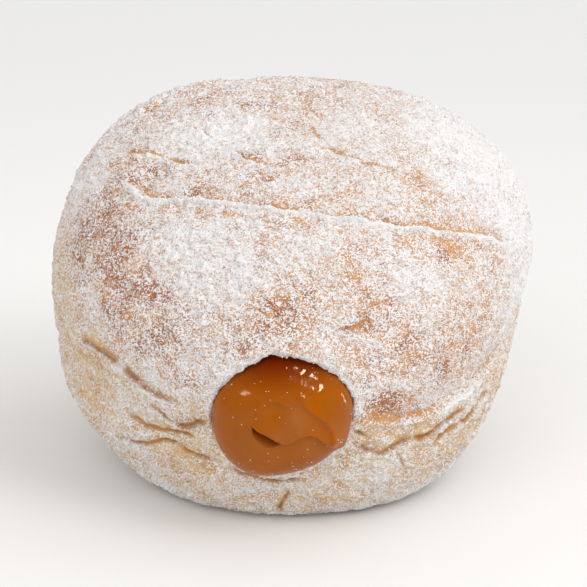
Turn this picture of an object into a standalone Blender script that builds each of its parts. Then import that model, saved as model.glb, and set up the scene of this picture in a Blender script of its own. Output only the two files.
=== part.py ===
"""A plump filled doughnut that rests on its flattened base, with soft filling bulging from its side.

The dough is one solid: a pillow with a wrinkled waist, a long fold across its top and a pocket
inside. The filling is the other solid: it fills the pocket and runs out through the opening.
Everything is in metres, +Z is up, and the opening faces -Y.

A place on the dough is an azimuth and a latitude in degrees, both seen from the middle of the dough
in its own leaning frame. Azimuth 0 is the front, 90 the right side, and latitude 0 is the waist.
"""

import math

import bmesh
import bpy
import numpy as np
from mathutils import Matrix, Vector, geometry, kdtree, noise

MM = 0.001

# The pillow, before it is flattened by its own weight.
HALF_WIDTH = 43.0 * MM
UPPER_HEIGHT = 35.3 * MM
LOWER_HEIGHT = 36.7 * MM
PLAN_FULLNESS = 2.07
UPPER_FULLNESS = 2.73
LOWER_FULLNESS = 2.38
LEAN = math.radians(14.0)
ROLL = math.radians(-4.0)
BASE_DEPTH = 30.0 * MM
BASE_ROUNDING = 3.0 * MM
ORIGIN_SHIFT = Vector((0.6, 3.2, 0.0)) * MM

# Broad swells and hollows: azimuth, latitude, height in mm, spread in degrees.
SWELLS = (
    (97, 6, 2.7, 27),
    (114, 29, 1.2, 27),
    (-128, 44, 3.1, 27),
    (-84, -4, 1.9, 27),
    (-64, -30, -0.9, 27),
    (71, -28, -1.1, 27),
    (84, -12, -3.4, 27),
    (160, -14, -1.2, 30),
    (-150, 8, 1.0, 24),
)
LUMP_SIZE = 17.0 * MM
LUMP_HEIGHT = 0.45 * MM

# The shallow groove round the waist. It is deepest on the right and fades out at the opening.
WAIST_DEPTH = 0.8 * MM
WAIST_SPREAD = math.radians(6.0)
WAIST_DEEPEST = math.radians(80.0)
WAIST_VARIATION = 0.35
WAIST_START = 17.0 * MM
WAIST_FADE = 10.0 * MM

# The opening, measured across the dough's surface from its middle.
OPENING_AZIMUTH = -2.8
OPENING_LATITUDE = 6.7
OPENING_RADIUS = 11.4 * MM
RIM_HEIGHT = 1.5 * MM
RIM_WIDTH = 3.2 * MM
RIM_ROLL = 1.5 * MM
RIM_EVENNESS = 0.6
RIM_NOTCH_ANGLE = math.radians(94.0)
RIM_NOTCH_DEPTH = 0.4 * MM
RIM_NOTCH_SPREAD = math.radians(8.0)
RIM_ROWS = (0.0, 0.25, 0.8, 1.6, 2.8, 4.4, 6.6)

# The filling: a sagging dome outside, a neck in the opening, and a pocket in the middle.
DOME_RISE = 7.6 * MM
DOME_SEAT = -1.4 * MM
DOME_FULLNESS = 0.87
DOME_SLANT = 0.07
DOME_SAG = 0.4 * MM
NECK_SHRINK = 0.18
NECK_LENGTH = 7.0 * MM
POCKET_MIDDLE = 30.0 * MM
POCKET_HALF_LENGTH = 17.0 * MM
POCKET_RADIUS = 16.0 * MM
POCKET_FLATNESS = 0.78
POCKET_BLEND = 4.0 * MM
FIT_GAP = 0.3 * MM

# Mesh fineness.
SKIN_POINTS = 3300
CROWDING = 0.2
SKIN_CLEARANCE = 1.9 * MM
ROW_CLEARANCE = 0.95 * MM
BASE_CLEARANCE = 0.8 * MM
CREASE_STEP = 0.5 * MM
ROW_STEP = 1.8 * MM
FINE_ROW_STEP = 1.4 * MM
BASE_SIDES = 24
OPENING_SIDES = 52
DOME_RINGS = 16
POCKET_RINGS = 13


class Crease:
    """A line across the dough. Above it the surface drops and then comes back over its reach.

    A cut is a narrow groove along the line and a lip a narrow ridge just under it, all in mm.
    """

    def __init__(self, places, drop=0.0, reach=6.0, cut=0.0, cut_width=1.1, lip=0.0, fine=False):
        self.places = places
        self.drop = drop * MM
        self.reach = reach * MM
        self.cut = cut * MM
        self.cut_width = cut_width * MM
        self.lip = lip * MM
        self.step = FINE_ROW_STEP if fine else ROW_STEP
        rows = (-0.4, 1.3, -2.0, 3.2) if drop > cut else (0.0, 1.4 * cut_width, -1.4 * cut_width)
        self.rows = np.array(rows) * MM


TOP_CREASES = (
    Crease(((-82, 47), (-77, 48), (-71, 49), (-63, 50), (-52, 54), (-36, 58), (-15, 59), (6, 57),
            (27, 51), (42, 44), (56, 36), (67, 28), (73, 22)), drop=1.6, reach=7.0, lip=0.5, fine=True),
    Crease(((48, 37), (51, 33), (53, 29), (56, 24)), cut=0.6, cut_width=1.5),
    Crease(((-99, 40), (-97, 45), (-93, 51), (-87, 56), (-76, 61), (-62, 65)), drop=0.9, reach=4.0),
    Crease(((-108, 61), (-103, 67), (-88, 71), (-66, 75), (-45, 75), (-30, 75), (-6, 74), (19, 76),
            (37, 76)), drop=0.8, reach=4.5),
    Crease(((129, 80), (76, 77), (61, 70), (61, 61), (66, 53)), cut=0.5),
    Crease(((26, 32), (22, 29), (20, 27), (14, 26), (9, 25)), cut=0.4),
    Crease(((150, 52), (128, 58), (104, 63), (84, 62)), drop=0.8, reach=5.0),
    Crease(((-170, 40), (-150, 47), (-132, 48), (-118, 44)), drop=0.9, reach=5.5, lip=0.2),
)
WAIST_CREASES = (
    Crease(((-62, 12), (-51, 13), (-44, 12), (-39, 10), (-31, 8), (-26, 8)), drop=0.8, reach=3.0),
    Crease(((-36, 6), (-31, 2), (-27, 1), (-22, 4), (-18, 6)), cut=0.9, fine=True),
    Crease(((-46, -2), (-36, -3), (-28, -1), (-22, -2)), cut=0.6),
    Crease(((-52, -12), (-41, -9), (-32, -5), (-26, -6), (-16, -7)), cut=0.7),
    Crease(((12, -2), (15, -5), (20, -8), (25, -7), (32, -8), (39, -7), (48, -6)), cut=1.0, fine=True),
    Crease(((32, -12), (37, -10), (42, -10), (50, -10), (58, -8)), cut=0.6),
    Crease(((24, -9), (25, -13), (27, -17)), cut=0.6),
    Crease(((12, 3), (15, 0), (18, -4)), cut=0.6),
    Crease(((15, 4), (20, 1), (25, -1), (31, -2), (41, -3), (52, -3), (64, 0), (80, 1)), drop=0.6, reach=3.0),
    Crease(((-18, -8), (-10, -11), (-4, -13), (3, -13)), cut=0.8),
    Crease(((-4, -13), (-3, -17), (-5, -21), (-5, -28)), cut=0.7),
)

# Wrinkles round the sides and the back: start azimuth, end azimuth, latitude, wobble, depth in mm.
SIDE_WRINKLES = (
    (60, 138, 1, 2.5, 1.1),
    (74, 118, -8, 2.0, 0.7),
    (125, 205, -2, 3.0, 0.9),
    (150, 186, 8, 2.0, 0.6),
    (192, 262, 3, 3.0, 0.9),
    (214, 246, -7, 2.0, 0.6),
    (256, 300, -1, 2.5, 0.7),
    (272, 318, 8, 2.0, 0.5),
)
WRINKLE_STEP = 8
WRINKLE_WAVES = 2.5

# Torn folds on the filling: start and end to the right and up, drop under the line and its reach, in mm.
FILLING_FOLDS = (
    (-4.9, 1.6, 8.8, -1.1, 0.9, 3.0),
    (3.2, 7.0, 9.2, -2.0, 0.8, 3.5),
    (-3.4, 5.2, 2.0, 6.3, 0.4, 1.6),
)
PIT = (-4.7, 1.9, 0.0, -1.5)
PIT_DEPTH = 2.2 * MM
PIT_WIDTH = 1.2 * MM
HOLLOW = (-0.5, 4.3)
HOLLOW_DEPTH = 0.8 * MM
HOLLOW_SPREAD = 2.6 * MM


def directions(azimuths, latitudes):
    """Unit vectors in the leaning frame for places given in degrees."""
    azimuth = np.radians(np.asarray(azimuths, float))
    latitude = np.radians(np.asarray(latitudes, float))
    level = np.cos(latitude)
    return np.stack([np.sin(azimuth) * level, -np.cos(azimuth) * level, np.sin(latitude)], axis=-1)


def unit(vectors):
    return vectors / np.linalg.norm(vectors, axis=-1, keepdims=True)


def smooth_step(values):
    """0 below 0, 1 above 1, and a smooth ramp between."""
    share = np.clip(values, 0.0, 1.0)
    return share * share * (3.0 - 2.0 * share)


def smooth_max(values, floor, rounding):
    """The larger of values and floor, with a rounded corner where they meet."""
    near = np.maximum(rounding - np.abs(values - floor), 0.0)
    return np.maximum(values, floor) + near * near / (4.0 * rounding)


def pillow(rays):
    """Points of the plain pillow along unit rays from the dough's middle, in the leaning frame."""
    x, y, z = np.abs(rays).T
    across = ((x / HALF_WIDTH) ** PLAN_FULLNESS + (y / HALF_WIDTH) ** PLAN_FULLNESS) ** (1 / PLAN_FULLNESS)
    upper = rays[:, 2] >= 0
    fullness = np.where(upper, UPPER_FULLNESS, LOWER_FULLNESS)
    height = np.where(upper, UPPER_HEIGHT, LOWER_HEIGHT)
    radius = (across**fullness + (z / height) ** fullness) ** (-1 / fullness)
    growth = np.ones(len(rays))
    for azimuth, latitude, swell, spread in SWELLS:
        towards = directions(azimuth, latitude)
        angle = np.arccos(np.clip(rays @ towards, -1.0, 1.0))
        growth += swell * MM / HALF_WIDTH * np.exp(-((angle / math.radians(spread)) ** 2))
    return rays * (radius * growth)[:, None]


def tipping():
    """The turn from the leaning frame to the upright one."""
    return np.array(Matrix.Rotation(LEAN, 3, "X") @ Matrix.Rotation(ROLL, 3, "Y"))


def settle(points):
    """Points of the leaning frame, tipped into place and flattened where they meet the surface."""
    world = points @ tipping().T
    world[:, 2] = smooth_max(world[:, 2], -BASE_DEPTH, BASE_ROUNDING) + BASE_DEPTH
    return world + np.array(ORIGIN_SHIFT)


def smooth_line(places):
    """Points every CREASE_STEP along a smooth curve on the pillow through these places."""
    knots = directions(*zip(*places))
    knots = np.vstack([2 * knots[0] - knots[1], knots, 2 * knots[-1] - knots[-2]])
    share = np.linspace(0.0, 1.0, 24, endpoint=False)[:, None]
    rays = []
    for before, start, end, after in zip(knots, knots[1:], knots[2:], knots[3:]):
        bend = 2 * before - 5 * start + 4 * end - after
        turn = 3 * start - before - 3 * end + after
        rays.append(start + 0.5 * share * ((end - before) + share * (bend + share * turn)))
    points = pillow(unit(np.vstack(rays + [knots[-2][None]])))
    return even_line(points, CREASE_STEP)


def even_line(points, step):
    """The same line with its points one step apart."""
    travelled = np.r_[0.0, np.cumsum(np.linalg.norm(np.diff(points, axis=0), axis=1))]
    wanted = np.linspace(0.0, travelled[-1], max(3, round(travelled[-1] / step) + 1))
    return np.stack([np.interp(wanted, travelled, column) for column in points.T], axis=-1)


def side_wrinkles():
    """The waist's wrinkles as creases, each on a wobbling line of latitude."""
    made = []
    for start, end, latitude, wobble, depth in SIDE_WRINKLES:
        azimuths = np.arange(start, end + 1, WRINKLE_STEP)
        along = (azimuths - start) / (end - start)
        latitudes = latitude + wobble * np.sin(2 * math.pi * WRINKLE_WAVES * along + start)
        made.append(Crease(tuple(zip(azimuths, latitudes)), cut=depth))
    return made


def point_tree(points):
    tree = kdtree.KDTree(len(points))
    for index, point in enumerate(points):
        tree.insert(point, index)
    tree.balance()
    return tree


class CreaseField:
    """Finds, for points on the pillow, how far each lies from a crease and on which side."""

    def __init__(self, crease):
        self.crease = crease
        self.line = smooth_line(crease.places)
        self.above = unit(np.cross(unit(self.line), np.gradient(self.line, axis=0)))
        ends = np.minimum(np.arange(len(self.line)), np.arange(len(self.line))[::-1]) * CREASE_STEP
        self.taper = smooth_step(ends / (4.0 * MM))
        self.tree = point_tree(self.line)

    def height(self, points):
        """How far the crease lifts or lowers the dough at these points."""
        found = [self.tree.find(point)[1:] for point in points]
        index = np.array([f[0] for f in found])
        distance = np.array([f[1] for f in found])
        side = np.einsum("ij,ij->i", points - self.line[index], self.above[index])
        above = np.copysign(distance, side)
        crease = self.crease
        step = smooth_step(above / (1.3 * MM) + 0.3)
        shape = -crease.drop * step * np.exp(-np.maximum(above, 0.0) / crease.reach)
        shape -= crease.cut * np.exp(-((distance / crease.cut_width) ** 2))
        shape += crease.lip * np.exp(-(((above + 0.5 * MM) / (1.5 * MM)) ** 2))
        return shape * self.taper[index]

    def rows(self):
        """Lines of mesh points beside the crease, so that the mesh follows its folds."""
        for offset in self.crease.rows:
            yield even_line(self.line + offset * self.above, self.crease.step)


def opening_frame():
    """The opening's middle on the pillow, and its axes: right, up and outward."""
    step = 1.0
    middle, beside, over = pillow(directions(
        (OPENING_AZIMUTH, OPENING_AZIMUTH + step, OPENING_AZIMUTH),
        (OPENING_LATITUDE, OPENING_LATITUDE, OPENING_LATITUDE + step)))
    right = unit(beside - middle)
    outward = unit(np.cross(right, over - middle))
    return middle, right, np.cross(outward, right), outward


def opening_angles():
    return np.linspace(0.0, 2 * math.pi, OPENING_SIDES, endpoint=False)


def opening_radius(angle):
    """The opening's uneven outline, as a radius for each angle from its right side."""
    uneven = 1.0 + 0.037 * np.cos(2 * angle) + 0.055 * np.sin(2 * angle)
    uneven += 0.02 * np.cos(3 * angle + 0.6) + 0.012 * np.sin(5 * angle)
    off = np.angle(np.exp(1j * (angle - RIM_NOTCH_ANGLE)))
    return OPENING_RADIUS * uneven + RIM_NOTCH_DEPTH * np.exp(-((off / RIM_NOTCH_SPREAD) ** 2))


def beyond_opening(points):
    """How far points on the front lie outside the opening's edge, and their angle round it."""
    middle, right, up, outward = opening_frame()
    offset = points - middle
    across, along = offset @ right, offset @ up
    angle = np.arctan2(along, across)
    beyond = np.hypot(across, along) - opening_radius(angle) - FIT_GAP
    return np.where(points @ outward > 0, beyond, HALF_WIDTH), angle


def rim_height(points):
    """The swollen lip round the opening, which rolls over inward at its edge, most at the top."""
    beyond, angle = beyond_opening(points)
    share = RIM_EVENNESS + (1.0 - RIM_EVENNESS) * np.sin(angle)
    roll = RIM_ROLL * share
    lip = RIM_HEIGHT * share * np.exp(-((np.maximum(beyond - roll, 0.0) / RIM_WIDTH) ** 2))
    inward = np.clip(1.0 - beyond / roll, 0.0, 1.0)
    return lip - roll * (1.0 - np.sqrt(1.0 - inward**2))


def body_height(points, fields):
    """Everything that stands out from the plain pillow, except the lip of the opening."""
    rays = unit(points)
    beyond, _ = beyond_opening(points)
    latitude = np.arcsin(rays[:, 2])
    azimuth = np.arctan2(rays[:, 0], -rays[:, 1])
    waist = -WAIST_DEPTH * (1.0 + WAIST_VARIATION * np.cos(azimuth - WAIST_DEEPEST))
    waist *= np.exp(-((latitude / WAIST_SPREAD) ** 2))
    waist *= smooth_step((beyond + OPENING_RADIUS - WAIST_START) / WAIST_FADE)
    lumps = LUMP_HEIGHT * np.array([noise.noise(Vector(point) / LUMP_SIZE) for point in points])
    folds = sum(field.height(points) for field in fields)
    return waist + (lumps + folds) * smooth_step(beyond / (2.5 * MM))


def rim_row(beyond):
    """A ring of points on the pillow at one distance outside the opening's edge."""
    middle, right, up, _ = opening_frame()
    angles = opening_angles()
    wanted = opening_radius(angles) + FIT_GAP + beyond
    ways = np.cos(angles)[:, None] * right + np.sin(angles)[:, None] * up
    reach = wanted.copy()
    for _ in range(6):
        points = pillow(unit(middle + reach[:, None] * ways))
        offset = points - middle
        reach *= wanted / np.hypot(offset @ right, offset @ up)
    return points


def base_row():
    """The ring of points on the pillow where its flat base begins."""
    headings = np.linspace(0.0, 2 * math.pi, BASE_SIDES, endpoint=False)
    shallow = np.full(BASE_SIDES, math.radians(15.0))
    steep = np.full(BASE_SIDES, math.radians(90.0))
    for _ in range(30):
        slope = 0.5 * (shallow + steep)
        level = np.cos(slope)
        rays = np.stack([np.cos(headings) * level, np.sin(headings) * level, -np.sin(slope)], axis=-1)
        points = pillow(rays @ tipping())
        low = (points @ tipping().T)[:, 2] < -BASE_DEPTH - BASE_ROUNDING
        steep = np.where(low, slope, steep)
        shallow = np.where(low, shallow, slope)
    return points


def spread_points():
    """Evenly scattered points all over the pillow, closer together near the opening."""
    index = np.arange(SKIN_POINTS) + 0.5
    golden = math.pi * (1.0 + math.sqrt(5.0))
    height = 1.0 - 2.0 * index / SKIN_POINTS
    level = np.sqrt(1.0 - height**2)
    rays = np.stack([np.cos(golden * index) * level, np.sin(golden * index) * level, height], axis=-1)
    return pillow(unit(rays + CROWDING * directions(OPENING_AZIMUTH, OPENING_LATITUDE)))


def skin_points(fields):
    """All points of the skin: the opening's rows first, then the base's ring, the creases and the rest."""
    rows = [rim_row(beyond * MM) for beyond in RIM_ROWS] + [base_row()]
    kept = np.vstack(rows)
    batches = [(row, ROW_CLEARANCE) for field in fields for row in field.rows()]
    for batch, clearance in (*batches, (spread_points(), SKIN_CLEARANCE)):
        tree = point_tree(kept)
        beyond, _ = beyond_opening(batch)
        clear = np.array([tree.find(point)[2] > clearance for point in batch])
        low = (batch @ tipping().T)[:, 2] < BASE_CLEARANCE - BASE_DEPTH - BASE_ROUNDING
        kept = np.vstack([kept, batch[clear & ~low & (beyond > 0)]])
    return kept


def skin_faces(points):
    """Triangles between points all round the pillow, found on a flat map seen from its top."""
    top = tipping()[2]
    first = unit(np.cross(directions(0, 0), top))
    second = np.cross(top, first)
    rays = unit(points)
    scale = 1.0 / (1.0 + rays @ top)
    chart = np.stack([rays @ first * scale, rays @ second * scale], axis=-1)
    found = geometry.delaunay_2d_cdt([Vector(place) for place in chart], [], [], 0, 1e-7, True)
    source = np.array([same[0] for same in found[3]])
    return source[np.array(found[2])]


def add_object(name, shape, material):
    """A named object from a closed bmesh, with its material and smooth shading."""
    bmesh.ops.recalc_face_normals(shape, faces=shape.faces)
    mesh = bpy.data.meshes.new(name)
    shape.to_mesh(mesh)
    shape.free()
    mesh.materials.append(material)
    mesh.shade_smooth()
    made = bpy.data.objects.new(name, mesh)
    bpy.context.scene.collection.objects.link(made)


def join_rings(shape, rings, tip):
    """Faces between rings of points, one after the other, closed by a last single point."""
    for outer, inner in zip(rings, rings[1:]):
        for side in range(len(outer)):
            after = (side + 1) % len(outer)
            shape.faces.new((outer[side], inner[side], inner[after]))
            shape.faces.new((outer[side], inner[after], outer[after]))
    last = rings[-1]
    for side in range(len(last)):
        shape.faces.new((last[side], tip, last[(side + 1) % len(last)]))


def make_dough(material):
    fields = [CreaseField(crease) for crease in (*TOP_CREASES, *WAIST_CREASES, *side_wrinkles())]
    middle, right, up, outward = opening_frame()
    axes = np.array([right, up, outward])
    plain = skin_points(fields)
    shaped = plain + unit(plain) * body_height(plain, fields)[:, None]
    shaped += outward * rim_height(plain)[:, None]
    shape = bmesh.new()
    skin = [shape.verts.new(place) for place in settle(shaped)]
    rim = skin[:OPENING_SIDES]
    base_start = OPENING_SIDES * len(RIM_ROWS)
    base = skin[base_start:base_start + BASE_SIDES]
    faces = skin_faces(plain)
    beyond, _ = beyond_opening(plain[faces].mean(axis=1))
    hole = (faces < OPENING_SIDES).all(axis=1) & (beyond < 0)
    under = ((faces >= base_start) & (faces < base_start + BASE_SIDES)).all(axis=1)
    for face in faces[~hole & ~under]:
        shape.faces.new([skin[corner] for corner in face])
    rings, end = inner_rings(FIT_GAP)
    pocket = [[shape.verts.new(place) for place in settle(middle + ring @ axes)] for ring in rings]
    tip = shape.verts.new(settle(middle + end @ axes)[0])
    join_rings(shape, [rim, *pocket], tip)
    shape.faces.new(base)
    add_object("dough", shape, material)


def inner_radius(depth):
    """Radius of the neck and the pocket at a depth behind the opening."""
    neck = OPENING_RADIUS * (1.0 - NECK_SHRINK * smooth_step(depth / NECK_LENGTH))
    if depth > POCKET_MIDDLE:
        neck = 0.0
    inside = 1.0 - ((depth - POCKET_MIDDLE) / POCKET_HALF_LENGTH) ** 2
    pocket = POCKET_RADIUS * math.sqrt(max(inside, 0.0))
    return float(smooth_max(np.float64(pocket), neck, POCKET_BLEND)) if neck else pocket


def inner_rings(grown):
    """Rings of the neck and the pocket, in the opening's axes, standing out by grown, and the last point."""
    angles = opening_angles()
    outline = opening_radius(angles) / OPENING_RADIUS
    end = POCKET_MIDDLE + POCKET_HALF_LENGTH
    rings = []
    for share in np.linspace(0.0, 1.0, POCKET_RINGS + 1)[:-1]:
        turn = share * math.pi / 2
        depth = end * math.sin(turn) ** 1.15 * 0.97 + 1.6 * MM * (1.0 - share)
        flat = 1.0 + (POCKET_FLATNESS - 1.0) * smooth_step((depth - NECK_LENGTH) / (12.0 * MM))
        uneven = 1.0 + (outline - 1.0) * smooth_step(1.0 - depth / (2.0 * NECK_LENGTH))
        radius = inner_radius(depth) * uneven + grown
        across, along = radius * np.cos(angles), radius * np.sin(angles) * flat
        slant = DOME_SLANT * along * (1.0 - share) ** 3
        rings.append(np.stack([across, along, DOME_SEAT - depth - slant], axis=-1))
    return rings, np.array([[0.0, 0.0, DOME_SEAT - end - grown]])


def fold_height(across, along):
    """The torn folds, the pit and the hollow on the front of the filling."""
    def beside(x0, y0, x1, y1):
        start, way = np.array((x0, y0)) * MM, np.array((x1 - x0, y1 - y0)) * MM
        length = math.hypot(*way)
        way /= length
        run = (across - start[0]) * way[0] + (along - start[1]) * way[1]
        over = (along - start[1]) * way[0] - (across - start[0]) * way[1]
        return over, smooth_step(run / (2.0 * MM) + 0.5) * smooth_step((length - run) / (2.0 * MM) + 0.5)

    height = np.zeros_like(across)
    for x0, y0, x1, y1, drop, reach in FILLING_FOLDS:
        over, ends = beside(x0, y0, x1, y1)
        fall = np.exp(-np.maximum(over, 0.0) / (reach * MM))
        height += drop * MM * smooth_step(over / (1.2 * MM) + 0.5) * fall * ends
    over, ends = beside(*PIT)
    height -= PIT_DEPTH * np.exp(-(((over + 0.6 * MM) / PIT_WIDTH) ** 2)) * ends
    off = np.hypot(across - HOLLOW[0] * MM, along - HOLLOW[1] * MM)
    return height - HOLLOW_DEPTH * np.exp(-((off / HOLLOW_SPREAD) ** 2))


def dome_rings():
    """Rings of the filling's dome from its widest to its last one near the tip, in the opening's axes."""
    angles = opening_angles()
    rings = []
    for share in np.linspace(0.0, 1.0, DOME_RINGS + 1)[:-1]:
        turn = (1.0 - share) * math.pi / 2
        radius = opening_radius(angles) * math.sin(turn) ** DOME_FULLNESS
        across, along = radius * np.cos(angles), radius * np.sin(angles)
        rise = DOME_SEAT + DOME_RISE * math.cos(turn) ** DOME_FULLNESS - DOME_SLANT * along
        rise += fold_height(across, along) * smooth_step(np.array(3.0 * share))
        rings.append(np.stack([across, along - DOME_SAG * math.cos(turn), rise], axis=-1))
    centre = np.zeros(1)
    return rings, np.array([[0.0, -DOME_SAG, DOME_SEAT + DOME_RISE + fold_height(centre, centre)[0]]])


def make_filling(material):
    middle, right, up, outward = opening_frame()
    axes = np.array([right, up, outward])
    shape = bmesh.new()
    dome, tip = dome_rings()
    inner, end = inner_rings(0.0)
    front = [[shape.verts.new(place) for place in settle(middle + ring @ axes)] for ring in dome]
    back = [[shape.verts.new(place) for place in settle(middle + ring @ axes)] for ring in inner]
    join_rings(shape, front, shape.verts.new(settle(middle + tip @ axes)[0]))
    join_rings(shape, [front[0], *back], shape.verts.new(settle(middle + end @ axes)[0]))
    add_object("filling", shape, material)


def make_material(name, colour, roughness):
    material = bpy.data.materials.new(name)
    material.use_nodes = True
    shader = material.node_tree.nodes["Principled BSDF"]
    shader.inputs["Base Color"].default_value = (*colour, 1.0)
    shader.inputs["Roughness"].default_value = roughness
    shader.inputs["Metallic"].default_value = 0.0
    return material


def main():
    for thing in list(bpy.data.objects):
        bpy.data.objects.remove(thing)
    make_dough(make_material("sugared_crust", (0.78, 0.62, 0.48), 0.9))
    make_filling(make_material("caramel", (0.45, 0.15, 0.02), 0.2))


main()
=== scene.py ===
"""The looks of the filled doughnut: its sugared crust, its glossy filling and a plain pale studio.

The crust and the filling have the shape of the solids that they replace, with finer folds, wrinkles
and grain. A place on the dough is an azimuth and a latitude in degrees, seen from the middle of the
dough in its own leaning frame. Azimuth 0 is the front, 90 the right side, and latitude 0 the waist.
"""

import itertools
import math
from typing import NamedTuple

import bpy
import numpy as np
from mathutils import Matrix, Vector, geometry, kdtree, noise


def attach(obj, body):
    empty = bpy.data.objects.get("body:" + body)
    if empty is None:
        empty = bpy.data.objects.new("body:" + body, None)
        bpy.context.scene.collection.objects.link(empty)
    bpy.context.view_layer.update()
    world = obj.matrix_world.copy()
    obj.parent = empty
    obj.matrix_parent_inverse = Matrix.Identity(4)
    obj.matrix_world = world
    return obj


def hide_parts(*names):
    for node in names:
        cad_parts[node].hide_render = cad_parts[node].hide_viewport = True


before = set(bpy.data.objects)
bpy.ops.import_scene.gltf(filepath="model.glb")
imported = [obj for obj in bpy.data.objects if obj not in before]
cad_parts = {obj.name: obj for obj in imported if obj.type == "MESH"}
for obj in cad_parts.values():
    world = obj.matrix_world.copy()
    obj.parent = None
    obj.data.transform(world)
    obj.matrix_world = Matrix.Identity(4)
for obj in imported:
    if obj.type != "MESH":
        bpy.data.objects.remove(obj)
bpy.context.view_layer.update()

MM = 0.001
SEED = 7

# The pillow, before it is flattened by its own weight. These sizes are the solids' own.
HALF_WIDTH = 43.0 * MM
UPPER_HEIGHT = 35.3 * MM
LOWER_HEIGHT = 36.7 * MM
PLAN_FULLNESS = 2.07
UPPER_FULLNESS = 2.73
LOWER_FULLNESS = 2.38
LEAN = math.radians(14.0)
ROLL = math.radians(-4.0)
BASE_DEPTH = 30.0 * MM
BASE_ROUNDING = 3.0 * MM
ORIGIN_SHIFT = Vector((0.6, 3.2, 0.0)) * MM

# Broad swells and hollows: azimuth, latitude, height in mm, spread in degrees.
SWELLS = (
    (97, 6, 2.7, 27),
    (114, 29, 1.2, 27),
    (-128, 44, 3.1, 27),
    (-84, -4, 1.9, 27),
    (-64, -30, -0.9, 27),
    (71, -28, -1.1, 27),
    (84, -12, -3.4, 27),
    (160, -14, -1.2, 30),
    (-150, 8, 1.0, 24),
)
LUMP_SIZE = 17.0 * MM
LUMP_HEIGHT = 0.45 * MM

# The shallow groove round the waist. It is deepest on the right and fades out at the opening.
WAIST_DEPTH = 0.8 * MM
WAIST_SPREAD = math.radians(6.0)
WAIST_DEEPEST = math.radians(80.0)
WAIST_VARIATION = 0.35
WAIST_START = 17.0 * MM
WAIST_FADE = 10.0 * MM

# The opening, measured across the dough's surface from its middle.
OPENING_AZIMUTH = -2.8
OPENING_LATITUDE = 6.7
OPENING_RADIUS = 11.4 * MM
RIM_HEIGHT = 1.5 * MM
RIM_WIDTH = 3.2 * MM
RIM_ROLL = 1.5 * MM
RIM_EVENNESS = 0.6
RIM_NOTCH_ANGLE = math.radians(94.0)
RIM_NOTCH_DEPTH = 0.4 * MM
RIM_NOTCH_SPREAD = math.radians(8.0)

# The filling: a sagging dome outside, a neck in the opening, and a pocket in the middle.
DOME_RISE = 7.6 * MM
DOME_SEAT = -1.4 * MM
DOME_FULLNESS = 0.87
DOME_SLANT = 0.07
DOME_SAG = 0.4 * MM
NECK_SHRINK = 0.18
NECK_LENGTH = 7.0 * MM
POCKET_MIDDLE = 30.0 * MM
POCKET_HALF_LENGTH = 17.0 * MM
POCKET_RADIUS = 16.0 * MM
POCKET_FLATNESS = 0.78
POCKET_BLEND = 4.0 * MM
POCKET_FLATTENING = 12.0 * MM
POCKET_RING_CROWDING = 1.15
FIRST_RING_DEPTH = 1.6 * MM
LAST_RING_DEPTH = 0.97
FIT_GAP = 0.3 * MM
PATH_STEP = 0.15 * MM

# Mesh fineness.
SKIN_POINTS = 150000
CROWDING = 0.24
SKIN_CLEARANCE = 0.2 * MM
BASE_CLEARANCE = 0.2 * MM
CREASE_STEP = 0.33 * MM
CREASE_ROWS = (-0.75, -0.5, -0.25, 0.0, 0.25, 0.5, 0.75)
BASE_SIDES = 150
OPENING_SIDES = 220
OPENING_ANGLES = np.linspace(0.0, 2 * math.pi, OPENING_SIDES, endpoint=False)
RIM_REACH = 5.0
RIM_ROW_COUNT = 17
RIM_ROW_GROWTH = 1.7
CREASE_CURVE_STEPS = 24
PATH_CURVE_STEPS = 8
DOME_RINGS = 110
POCKET_RINGS = 24


class Crease(NamedTuple):
    """A line across the dough. Above it the surface drops and then comes back over its reach.

    A cut is a narrow groove along the line and a lip a narrow ridge just under it, all in mm.
    Wander is how far the line strays from its smooth course, in degrees. Bare is how little sugar
    there is in the fold, band how little over the reach above it, and dust how much more lies on
    its lower edge, all from 0 to 1.
    """

    places: tuple
    drop: float = 0.0
    reach: float = 6.0
    cut: float = 0.0
    cut_width: float = 0.28
    lip: float = 0.0
    wander: float = 0.5
    bare: float = 0.8
    band: float = 0.0
    dust: float = 0.0


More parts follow.
